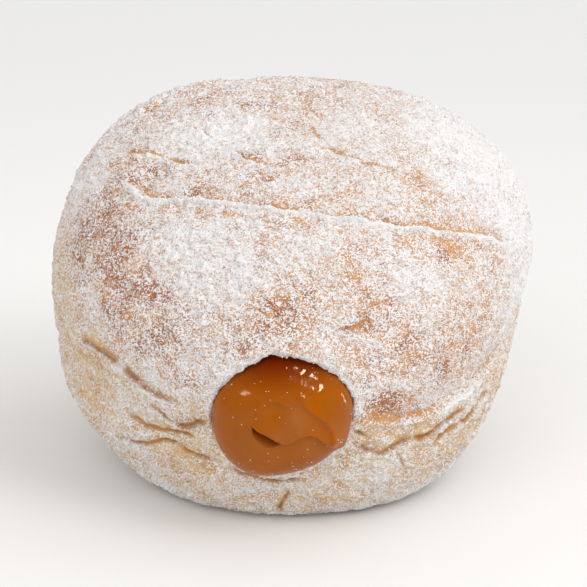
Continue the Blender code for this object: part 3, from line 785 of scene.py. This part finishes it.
def make_crust(material):
    """The dough's skin with its pocket, as one closed mesh."""
    middle, right, up, outward = opening_frame()
    axes = np.array([right, up, outward])
    plain = skin_points()
    relief, *marks = np.zeros((4, len(plain)))
    for crease in (*CREASES, *side_wrinkles()):
        lifted, *marked = crease_relief(crease, plain)
        relief += lifted
        marks = np.maximum(marks, marked)
    bare, dust, crack_and_shade = marks
    beyond, angle = beyond_opening(plain)
    azimuth, latitude = places_of(unit(plain))
    waist = -WAIST_DEPTH * (1.0 + WAIST_VARIATION * np.cos(np.radians(azimuth) - WAIST_DEEPEST))
    waist *= bell(np.radians(latitude), WAIST_SPREAD)
    waist *= smooth_step((beyond + OPENING_RADIUS - WAIST_START) / WAIST_FADE)
    cover = sugar_cover(plain, bare, dust)
    upper = 0.5 + 0.5 * np.sin(angle + RIM_SUGAR_TURN)
    cover += RIM_SUGAR * bell(beyond - RIM_SUGAR_OFFSET, RIM_SUGAR_WIDTH) * upper
    lumps = LUMP_HEIGHT * noise_at(plain, LUMP_SIZE)
    fade = smooth_step(beyond / RIM_CALM)
    fine = crust_relief(plain, cover) * (0.35 + 0.65 * fade) * (beyond > 0.0)
    relief = waist + (lumps + relief) * fade + fine
    skin = plain + unit(plain) * relief[:, None] + outward * rim_height(plain)[:, None]
    ragged = RIM_RAGGED * noise_at(plain, RIM_RAGGED_SIZE, 2.8)
    ragged *= 1.0 - smooth_step(beyond / RIM_RAGGED_WIDTH)
    inward = -np.cos(angle)[:, None] * right - np.sin(angle)[:, None] * up
    skin += (ragged * (0.4 + 0.6 * upper))[:, None] * inward
    rings, end = inner_rings(FIT_GAP)
    points = settle(np.vstack([skin, *(middle + ring @ axes for ring in rings), middle + end @ axes]))
    points[:, 2] = np.maximum(points[:, 2], 0.0)
    faces = skin_faces(plain)
    base_start = OPENING_SIDES * RIM_ROW_COUNT
    base = np.arange(base_start, base_start + BASE_SIDES)
    over, _ = beyond_opening(plain[faces].mean(axis=1))
    inside = (faces < OPENING_SIDES).all(axis=1) & (over < 0)
    inside |= ((faces >= base[0]) & (faces <= base[-1])).all(axis=1)
    numbers = len(plain) + np.arange(len(rings) * OPENING_SIDES).reshape(len(rings), OPENING_SIDES)
    pocket = ring_faces([np.arange(OPENING_SIDES), *numbers], len(points) - 1)
    fan = np.stack([np.full(BASE_SIDES - 2, base[0]), base[1:-1], base[2:]], axis=-1)
    hidden = len(points) - len(plain)
    values = {
        "cover": np.r_[cover, np.full(hidden, POCKET_COVER)],
        "brown": np.r_[browning(plain) * richness(plain), np.zeros(hidden)],
        "bare": np.r_[bare, np.zeros(hidden)],
        "crack_and_shade": np.r_[crack_and_shade, np.zeros(hidden)],
    }
    made = make_mesh("crust", points, np.vstack([faces[~inside], pocket, fan]), material, values)
    return made, cover


def smooth_path(places):
    """A smooth line of points through places on the filling, in metres."""
    return even_line(curve_through(np.array(places) * MM, PATH_CURVE_STEPS), PATH_STEP)


def beside_path(path, across, along):
    """Distance from a smooth path, positive on its left, and a share that fades near its ends."""
    offset = np.stack([across, along], axis=-1)[:, None] - path[None]
    apart = np.hypot(offset[..., 0], offset[..., 1])
    nearest = apart.argmin(axis=1)
    rows = np.arange(len(nearest))
    way = unit(np.gradient(path, axis=0))[nearest]
    beside = offset[rows, nearest]
    side = beside[:, 1] * way[:, 0] - beside[:, 0] * way[:, 1]
    ends = np.minimum(nearest, len(path) - 1 - nearest) * PATH_STEP
    return np.copysign(apart[rows, nearest], side), smooth_step(ends / FOLD_TAPER)


def pit_share(across, along):
    """How far the pit sinks, from 0 to 1: a crescent with a sharp upper edge and a sloping lower side. The
    same share sets the shade painted in the pit.
    """
    x, y = across - PIT[0] * MM, along - PIT[1] * MM
    length = (x * math.cos(PIT_WAY) + y * math.sin(PIT_WAY)) / PIT_HALF_LENGTH
    below = x * math.sin(PIT_WAY) - y * math.cos(PIT_WAY)
    lens = np.sqrt(np.clip(1.0 - length**2, 0.0, 1.0)) * (1.0 + PIT_SKEW * length)
    width = np.maximum(PIT_WIDTH * lens, 0.01 * MM)
    slope = smooth_step(below / PIT_EDGE) * (1.0 - smooth_step(below / width))
    return slope * np.clip(1.6 * lens, 0.0, 1.0)


def fold_height(across, along):
    """The torn folds, the pit, the arch and the hollow on the front of the filling."""
    height = np.zeros(across.shape)
    for line, drop, reach, edge in FOLDS:
        over, ends = beside_path(smooth_path(line), across, along)
        height += drop * MM * smooth_step(over / (edge * MM) + 0.5) * fading(over, reach * MM) * ends
    for line, rise in RIDGES:
        over, ends = beside_path(smooth_path(line), across, along)
        height += rise * MM * bell(over, RIDGE_WIDTH) * ends
    height -= PIT_DEPTH * pit_share(across, along)
    height -= RECESS_DEPTH * smooth_step((along - RECESS_START) / RECESS_LENGTH)
    places = np.stack([across, along, np.zeros(len(across))], axis=-1)
    height += RIPPLE_HEIGHT * patched(RIPPLE_PATCHES, across, along) * noise_at(places, RIPPLE_SIZE, 1.7)
    off = np.hypot(across - HOLLOW[0] * MM, along - HOLLOW[1] * MM)
    return height - HOLLOW_DEPTH * bell(off, HOLLOW_SPREAD)


def patched(patches, across, along):
    """The sum of soft round patches, each with its place, amount and spread in mm."""
    total = np.zeros(across.shape)
    for x, y, amount, spread in patches:
        off = np.hypot(across / MM - x, along / MM - y)
        total += amount * bell(off, spread)
    return np.minimum(total, 1.0)


def make_filling(material):
    """The filling's dome, neck and pocket as one closed mesh."""
    middle, *axes = opening_frame()
    off_tip = np.angle(np.exp(1j * (OPENING_ANGLES - TIP_ANGLE)))
    tip_bulge = TIP_REACH * bell(off_tip, TIP_SPREAD * np.where(off_tip > 0, 1.8, 0.8))
    even, notched = smooth_outline(OPENING_ANGLES), opening_radius(OPENING_ANGLES)
    dome, milk_and_painted_sheen, glow, painted_shade = [], [], [], []
    for share in np.linspace(0.0, 1.0, DOME_RINGS + 1)[:-1]:
        turn = (1.0 - share) * math.pi / 2
        outline = even + (notched - even + CLOSING) * bell(share, CLOSING_RINGS)
        outline *= 1.0 + tip_bulge * bell(share - TIP_RING, TIP_RINGS)
        radius = outline * math.sin(turn) ** DOME_FULLNESS
        across, along = radius * np.cos(OPENING_ANGLES), radius * np.sin(OPENING_ANGLES)
        rise = DOME_SEAT + DOME_RISE * math.cos(turn) ** DOME_FULLNESS - DOME_SLANT * along
        rise += fold_height(across, along) * smooth_step(np.array(6.0 * share))
        dome.append(np.stack([across, along - DOME_SAG * math.cos(turn), rise], axis=-1))
        # The milky places: their colour is partly the smeared caramel's own and partly a painted sheen of
        # reflected light.
        milk_and_painted_sheen.append(patched(MILK_AND_SHEEN_PATCHES, across, along))
        glow.append(patched(GLOW_PATCHES, across, along))
        # Painted shade: the caramel is coloured darker towards the top, under the rim, and in the pit.
        top = smooth_step((along - PAINTED_SHADE_START) / (OPENING_RADIUS - PAINTED_SHADE_START))
        painted_shade.append(np.maximum(pit_share(across, along), top))
    centre = np.zeros(1)
    tip = np.array([[0.0, -DOME_SAG, DOME_SEAT + DOME_RISE + fold_height(centre, centre)[0]]])
    inner, end = inner_rings(0.0)
    points = settle(middle + np.vstack([*dome, *inner, tip, end]) @ np.array(axes))
    count = len(dome) + len(inner)
    numbers = np.arange(count * OPENING_SIDES).reshape(count, OPENING_SIDES)
    front = ring_faces(list(numbers[:len(dome)]), count * OPENING_SIDES)
    back = ring_faces([numbers[0], *numbers[len(dome):]], count * OPENING_SIDES + 1)
    values = {}
    for name, shares in (("milk_and_painted_sheen", milk_and_painted_sheen), ("glow", glow), ("painted_shade", painted_shade)):
        values[name] = np.r_[np.concatenate(shares), np.zeros(len(points) - len(dome) * OPENING_SIDES)]
    return make_mesh("caramel", points, np.vstack([front[:, ::-1], back]), material, values)


def box_shape():
    """A small block with slightly unequal ends, like a sugar crystal."""
    corners = np.array([(x, y, z) for x in (-1, 1) for y in (-1, 1) for z in (-1, 1)], float)
    corners[:4] *= 0.8
    faces = ((0, 1, 3), (0, 3, 2), (4, 6, 7), (4, 7, 5), (0, 4, 5), (0, 5, 1), (2, 3, 7), (2, 7, 6),
             (0, 2, 6), (0, 6, 4), (1, 5, 7), (1, 7, 3))
    return 0.5 * corners, np.array(faces)


def clump_shape():
    """A twenty-sided lump."""
    golden = (1.0 + math.sqrt(5.0)) / 2.0
    corners = []
    for a in (-1.0, 1.0):
        for b in (-golden, golden):
            corners += [(0.0, a, b), (a, b, 0.0), (b, 0.0, a)]
    corners = unit(np.array(corners))
    gaps = np.linalg.norm(corners[:, None] - corners[None], axis=-1)
    near = (gaps > 0.1) & (gaps < 1.2)
    faces = []
    for a, b, c in itertools.combinations(range(12), 3):
        if near[a, b] and near[b, c] and near[a, c]:
            turn = np.cross(corners[b] - corners[a], corners[c] - corners[a]) @ corners[a]
            faces.append((a, b, c) if turn > 0 else (a, c, b))
    return 0.5 * corners, np.array(faces)


def points_of(mesh):
    points = np.empty(3 * len(mesh.vertices), np.float32)
    mesh.vertices.foreach_get("co", points)
    return points.reshape(-1, 3)


def surface_samples(mesh, weights, count, draw):
    """Random places on a mesh's faces and their normals, more where its points weigh more."""
    faces = np.empty(3 * len(mesh.polygons), np.int32)
    mesh.loops.foreach_get("vertex_index", faces)
    faces = faces.reshape(-1, 3)
    corners = points_of(mesh)[faces]
    normals = np.cross(corners[:, 1] - corners[:, 0], corners[:, 2] - corners[:, 0])
    size = np.linalg.norm(normals, axis=1)
    share = size * weights[faces].mean(axis=1)
    picked = draw.choice(len(faces), count, p=share / share.sum())
    a, b = draw.random(count), draw.random(count)
    over = a + b > 1.0
    a, b = np.where(over, 1 - a, a), np.where(over, 1 - b, b)
    chosen = corners[picked]
    first, second = chosen[:, 1] - chosen[:, 0], chosen[:, 2] - chosen[:, 0]
    places = chosen[:, 0] + a[:, None] * first + b[:, None] * second
    return places, normals[picked] / np.maximum(size[picked], 1e-20)[:, None]


def scatter(name, shape, obj, weights, count, size, material, sink=0.15):
    """Many small copies of a shape lying on an object, as one mesh."""
    draw = np.random.default_rng(SEED + count)
    places, normals = surface_samples(obj.data, weights, count, draw)
    corners, faces = shape
    stretch = size * draw.uniform(0.55, 1.25, (count, 1, 1)) * draw.uniform(0.7, 1.2, (count, 1, 3))
    turns = unit(draw.normal(size=(count, 1, 4)))
    real, axis = turns[..., :1], turns[..., 1:]
    turned = corners * stretch
    turned += 2.0 * np.cross(axis, np.cross(axis, turned) + real * turned)
    places = places + normals * size * (0.5 - sink - 0.5 * draw.random((count, 1)))
    points = (turned + places[:, None]).reshape(-1, 3)
    points[:, 2] = np.maximum(points[:, 2], 0.0)
    numbers = np.arange(count)[:, None, None] * len(corners) + faces[None]
    return make_mesh(name, points, numbers.reshape(-1, 3), material, smooth=False)


class Nodes:
    """Short ways to build a material's nodes."""

    def __init__(self, name):
        self.material = bpy.data.materials.new(name)
        self.material.use_nodes = True
        self.tree = self.material.node_tree
        self.shader = self.tree.nodes["Principled BSDF"]
        self.place = self.make("TexCoord", "Object")

    def link(self, value, socket):
        if isinstance(value, bpy.types.NodeSocket):
            self.tree.links.new(value, socket)
        else:
            socket.default_value = value

    def set(self, socket, value):
        self.link(value, self.shader.inputs[socket])

    def make(self, kind, output, inputs=(), **settings):
        """One output of a new node, whose settings and inputs are given by name or number."""
        node = self.tree.nodes.new("ShaderNode" + kind)
        for name, value in settings.items():
            setattr(node, name, value)
        for socket, value in dict(inputs).items():
            self.link(value, node.inputs[socket])
        return node.outputs[output]

    def attribute(self, name):
        return self.make("Attribute", "Fac", attribute_name=name)

    def noise(self, size, detail=2.0, roughness=0.5, distortion=0.0, place=None):
        inputs = {"Scale": 1.0 / size, "Detail": detail, "Roughness": roughness, "Distortion": distortion}
        return self.make("TexNoise", "Fac", {"Vector": place or self.place, **inputs})

    def cells(self, size):
        """Random cells: the distance from each one's middle, and its own chance from 0 to 1."""
        apart = self.make("TexVoronoi", "Distance", {"Vector": self.place, "Scale": 1.0 / size})
        return apart, self.make("SeparateColor", 0, {0: apart.node.outputs["Color"]})

    def vector(self, operation, first, second=(0.0, 0.0, 0.0), output="Vector"):
        return self.make("VectorMath", output, {0: first, 1: second}, operation=operation)

    def brushed(self):
        """The place squeezed along the brushing direction, so that noise there makes short streaks."""
        along = self.vector("DOT_PRODUCT", self.place, BRUSH_WAY, "Value")
        squeeze = self.vector("MULTIPLY", BRUSH_WAY * (1.0 - 1.0 / STREAK_STRETCH), along)
        return self.vector("SUBTRACT", self.place, squeeze)

    def math(self, operation, first, second=0.0, third=0.0):
        return self.make("Math", 0, {0: first, 1: second, 2: third}, operation=operation)

    def ramp(self, value, low, high, start=0.0, end=1.0):
        """A smooth ramp from start to end as value goes from low to high."""
        inputs = enumerate((value, low, high, start, end))
        return self.make("MapRange", 0, inputs, interpolation_type="SMOOTHSTEP")

    def mix(self, share, first, second):
        return self.make("Mix", 2, {0: share, 6: first, 7: second}, data_type="RGBA")

    def bump(self, height, distance, strength):
        inputs = {"Strength": strength, "Distance": distance, "Height": height}
        self.set("Normal", self.make("Bump", "Normal", inputs))


# The sugar on the crust: the sizes in its pattern, their shares, and the level above which it shows.
STREAK_STRETCH = 2.6
SUGAR_GRAIN = 0.34 * MM
SUGAR_CLUSTER = 1.2 * MM
SUGAR_CELL = 0.22 * MM
TONE_SIZE = 4.0 * MM
FILM_SIZE = 0.9 * MM
CELL_SHARE = 0.46
GRAIN_SHARE = 0.38
CLUSTER_SHARE = 0.36
BARE_LEVEL = 0.665
COVER_SHARE = 0.28
SUGAR_SOFTNESS = 0.025
PEBBLE_HEIGHT = 0.30 * MM
GRAIN_TINT_SIZE = 2.5 * MM

# The sizes in the filling's pattern, and how deep its light goes.
SWIRL_SIZE = 4.0 * MM
SATIN_SIZE = 2.0 * MM
DIMPLE_SIZE = 1.4 * MM
DIMPLE_HEIGHT = 0.05 * MM
GLOW_DEPTH = 2.0 * MM

# Colours.
CREAM = (0.80, 0.55, 0.27, 1.0)
OCHRE = (0.68, 0.37, 0.12, 1.0)
GOLD = (0.70, 0.33, 0.105, 1.0)
BROWN = (0.43, 0.145, 0.036, 1.0)
CRACK_WITH_PAINTED_SHADE = (0.40, 0.16, 0.032, 1.0)
SUGAR = (0.92, 0.905, 0.91, 1.0)
DULL_GRAIN = (0.88, 0.84, 0.82, 1.0)
BRIGHT_GRAIN = (0.93, 0.915, 0.915, 1.0)
AMBER = (0.29, 0.078, 0.009, 1.0)
GLOWING_AMBER = (0.34, 0.084, 0.001, 1.0)
# The milky amber is partly a painted sheen of reflected light.
MILKY_AMBER_AND_PAINTED_SHEEN = (0.34, 0.112, 0.024, 1.0)
# The darker amber is painted shade.
PAINTED_SHADE_AMBER = (0.14, 0.010, 0.0, 1.0)
# Painted light: the floor is paler near the middle.
NEAR_FLOOR_PAINTED_LIGHT = (0.775, 0.765, 0.755, 1.0)
FAR_FLOOR = (0.70, 0.697, 0.692, 1.0)
AMBER_GLOSS = (1.0, 0.85, 0.62, 1.0)


def crust_material():
    """Fried dough under a dusting of sugar that leaves it showing in specks and patches."""
    nodes = Nodes("sugared_crust")
    cover, brown, bare, crack_and_shade = (nodes.attribute(name) for name in ("cover", "brown", "bare", "crack_and_shade"))
    grain = nodes.noise(SUGAR_GRAIN, 2.0, 0.6)
    cluster = nodes.noise(SUGAR_CLUSTER, 2.0, 0.6, place=nodes.brushed())
    tone = nodes.noise(TONE_SIZE, 3.0, 0.6)
    apart, chance = nodes.cells(SUGAR_CELL)
    field = nodes.math("MULTIPLY_ADD", chance, CELL_SHARE, nodes.math("MULTIPLY", grain, GRAIN_SHARE))
    field = nodes.math("MULTIPLY_ADD", cluster, CLUSTER_SHARE, field)
    needed = nodes.math("MULTIPLY_ADD", cover, -COVER_SHARE, BARE_LEVEL)
    sugar = nodes.ramp(nodes.math("SUBTRACT", field, needed), -SUGAR_SOFTNESS, SUGAR_SOFTNESS)
    pale = nodes.mix(nodes.ramp(tone, 0.35, 0.65), CREAM, OCHRE)
    depth = nodes.math("MULTIPLY_ADD", brown, 0.35, tone)
    depth = nodes.math("MULTIPLY_ADD", nodes.math("MAXIMUM", cover, 0.2), -0.42, depth)
    depth = nodes.math("SUBTRACT", depth, nodes.math("MULTIPLY_ADD", bare, 0.3, 0.19))
    dark = nodes.mix(nodes.ramp(depth, 0.38, 0.62), GOLD, BROWN)
    crust = nodes.mix(nodes.ramp(nodes.math("MULTIPLY_ADD", cluster, 0.5, brown), 0.25, 0.95), pale, dark)
    crust = nodes.mix(nodes.math("MULTIPLY", bare, 0.6), crust, OCHRE)
    veil = nodes.ramp(cover, 0.2, 0.85, 0.05, 0.56)
    film = nodes.math("MULTIPLY", veil, nodes.ramp(nodes.noise(FILM_SIZE, 1.0), 0.3, 0.7, 0.5, 1.2))
    share = nodes.math("MAXIMUM", nodes.math("MULTIPLY", sugar, 0.98), film)
    dusted = nodes.mix(share, crust, SUGAR)
    # The cracks show bare dough, darkened with painted shade.
    nodes.set("Base Color", nodes.mix(nodes.math("MULTIPLY", crack_and_shade, 0.9), dusted, CRACK_WITH_PAINTED_SHADE))
    nodes.set("Roughness", 0.85)
    nodes.set("Specular IOR Level", 0.25)
    pebbles = nodes.math("MULTIPLY", apart, -0.9)
    height = nodes.math("MULTIPLY_ADD", sugar, 0.45, nodes.math("ADD", grain, pebbles))
    nodes.bump(height, PEBBLE_HEIGHT, 1.0)
    return nodes.material


def caramel_material():
    """Glossy caramel cream, milky where it was smeared and clearer where it is thin. The milky colour is
    partly a painted sheen, and the darker colour is painted shade in the pit and under the top of the rim.
    """
    nodes = Nodes("caramel")
    milk_and_painted_sheen, glow, painted_shade = (nodes.attribute(name) for name in ("milk_and_painted_sheen", "glow", "painted_shade"))
    swirl = nodes.noise(SWIRL_SIZE, 2.0, 0.5, 1.2)
    streak = nodes.ramp(swirl, 0.35, 0.65)
    colour = nodes.mix(nodes.math("MULTIPLY", streak, 0.5), AMBER, GLOWING_AMBER)
    milky_and_sheen = nodes.math("MULTIPLY", milk_and_painted_sheen, nodes.ramp(swirl, 0.3, 0.7, 0.6, 1.0))
    # The milky colour is partly the smeared caramel's own and partly a painted sheen of reflected light.
    colour = nodes.mix(milky_and_sheen, colour, MILKY_AMBER_AND_PAINTED_SHEEN)
    colour = nodes.mix(nodes.math("MULTIPLY", glow, 0.85), colour, GLOWING_AMBER)
    # Painted shade: the darker amber in the pit and towards the top under the rim.
    nodes.set("Base Color", nodes.mix(painted_shade, colour, PAINTED_SHADE_AMBER))
    satin = nodes.ramp(nodes.noise(SATIN_SIZE, 3.0), 0.3, 0.7, 0.07, 0.14)
    nodes.set("Roughness", nodes.math("MULTIPLY_ADD", milk_and_painted_sheen, 0.10, satin))
    nodes.set("Specular IOR Level", 0.13)
    nodes.set("Specular Tint", AMBER_GLOSS)
    nodes.set("Subsurface Weight", 0.3)
    nodes.set("Subsurface Radius", (1.0, 0.35, 0.06))
    nodes.set("Subsurface Scale", GLOW_DEPTH)
    nodes.bump(nodes.noise(DIMPLE_SIZE, 2.0, 0.5), DIMPLE_HEIGHT, 0.5)
    return nodes.material


def sugar_material():
    """White sugar with a slight sparkle."""
    nodes = Nodes("sugar")
    tint = nodes.ramp(nodes.noise(GRAIN_TINT_SIZE, 2.0), 0.35, 0.65)
    nodes.set("Base Color", nodes.mix(tint, DULL_GRAIN, BRIGHT_GRAIN))
    nodes.set("Roughness", 0.45)
    nodes.set("Specular IOR Level", 0.4)
    return nodes.material


def make_floor():
    """A wide round floor, paler than the object, with painted light: paler near the middle than further
    off.
    """
    nodes = Nodes("pale_floor")
    # Painted light: the floor's colour is paler near the middle and fades out further off.
    painted_light_fade = nodes.ramp(nodes.vector("LENGTH", nodes.place, output="Value"), FLOOR_NEAR, FLOOR_FAR)
    nodes.set("Base Color", nodes.mix(painted_light_fade, NEAR_FLOOR_PAINTED_LIGHT, FAR_FLOOR))
    nodes.set("Roughness", 0.75)
    nodes.set("Specular IOR Level", 0.2)
    turns = np.linspace(0.0, 2 * math.pi, FLOOR_SIDES, endpoint=False)
    ring = FLOOR_RADIUS * np.stack([np.cos(turns), np.sin(turns), np.zeros(FLOOR_SIDES)], axis=-1)
    faces = ring_faces([np.arange(FLOOR_SIDES)], FLOOR_SIDES)[:, ::-1]
    floor = make_mesh("floor", np.vstack([ring, np.zeros(3)]), faces, nodes.material, smooth=False)
    floor.location.z = -FLOOR_DROP


def make_lights():
    """A bright surround, broad soft light from the right and the front, and panels for the gloss."""
    world = bpy.data.worlds.new("surround")
    world.use_nodes = True
    background = world.node_tree.nodes["Background"]
    background.inputs["Color"].default_value = (1.0, 0.995, 0.985, 1.0)
    background.inputs["Strength"].default_value = WORLD_LIGHT
    world.cycles_visibility.glossy = False
    bpy.context.scene.world = world
    for name, place, power, softness in SUNS:
        lamp = bpy.data.lights.new(name, "SUN")
        lamp.energy = power
        lamp.angle = math.radians(softness)
        add_lamp(name, lamp, place).visible_glossy = False
    for name, place, width, height, power, gloss in PANELS:
        lamp = bpy.data.lights.new(name, "AREA")
        lamp.shape = "RECTANGLE"
        lamp.size = width
        lamp.size_y = height
        lamp.energy = power
        made = add_lamp(name, lamp, place)
        made.visible_glossy = gloss
        made.visible_diffuse = not gloss


def add_lamp(name, lamp, place):
    made = bpy.data.objects.new(name, lamp)
    made.location = place
    made.rotation_euler = (AIM - Vector(place)).to_track_quat("-Z", "Y").to_euler()
    bpy.context.scene.collection.objects.link(made)
    return made


def make_camera():
    camera = bpy.data.cameras.new("camera")
    camera.lens = LENS
    camera.sensor_width = 36.0
    camera.clip_start = 0.01
    made = bpy.data.objects.new("camera", camera)
    back = Vector((0.0, -math.cos(ELEVATION), math.sin(ELEVATION)))
    made.location = AIM + DISTANCE * back
    made.rotation_euler = (-back).to_track_quat("-Z", "Y").to_euler()
    bpy.context.scene.collection.objects.link(made)
    bpy.context.scene.camera = made


def grain_weights(obj, cover):
    """How readily loose sugar lies at each point: more where the dusting is thick and low down."""
    height = points_of(obj.data)[:, 2]
    weights = np.zeros(len(height))
    weights[:len(cover)] = np.clip(cover, 0.05, 1.0) ** 1.5
    weights *= 1.0 + LOW_GRAINS * smooth_step(1.0 - height / LOW_GRAIN_HEIGHT)
    return np.where(height < BASE_CLEAR_HEIGHT, 0.0, weights)


def main():
    make_camera()
    make_lights()
    make_floor()
    sugar = sugar_material()
    crust, cover = make_crust(crust_material())
    caramel = make_filling(caramel_material())
    weights = grain_weights(crust, cover)
    grains = scatter("sugar_grains", box_shape(), crust, weights, FINE_GRAINS, FINE_GRAIN_SIZE, sugar)
    clumps = scatter("sugar_clumps", clump_shape(), crust, weights, CLUMPS, CLUMP_SIZE, sugar, sink=0.3)
    front = np.zeros(len(caramel.data.vertices))
    front[OPENING_SIDES * SPECK_START_RING:OPENING_SIDES * DOME_RINGS] = 1.0
    specks = scatter("sugar_specks", box_shape(), caramel, front, SPECKS, SPECK_SIZE, sugar)
    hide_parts("dough")
    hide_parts("filling")
    for piece in (crust, caramel, grains, clumps, specks):
        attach(piece, "root")
    view = bpy.context.scene.view_settings
    view.view_transform = "Standard"


main()
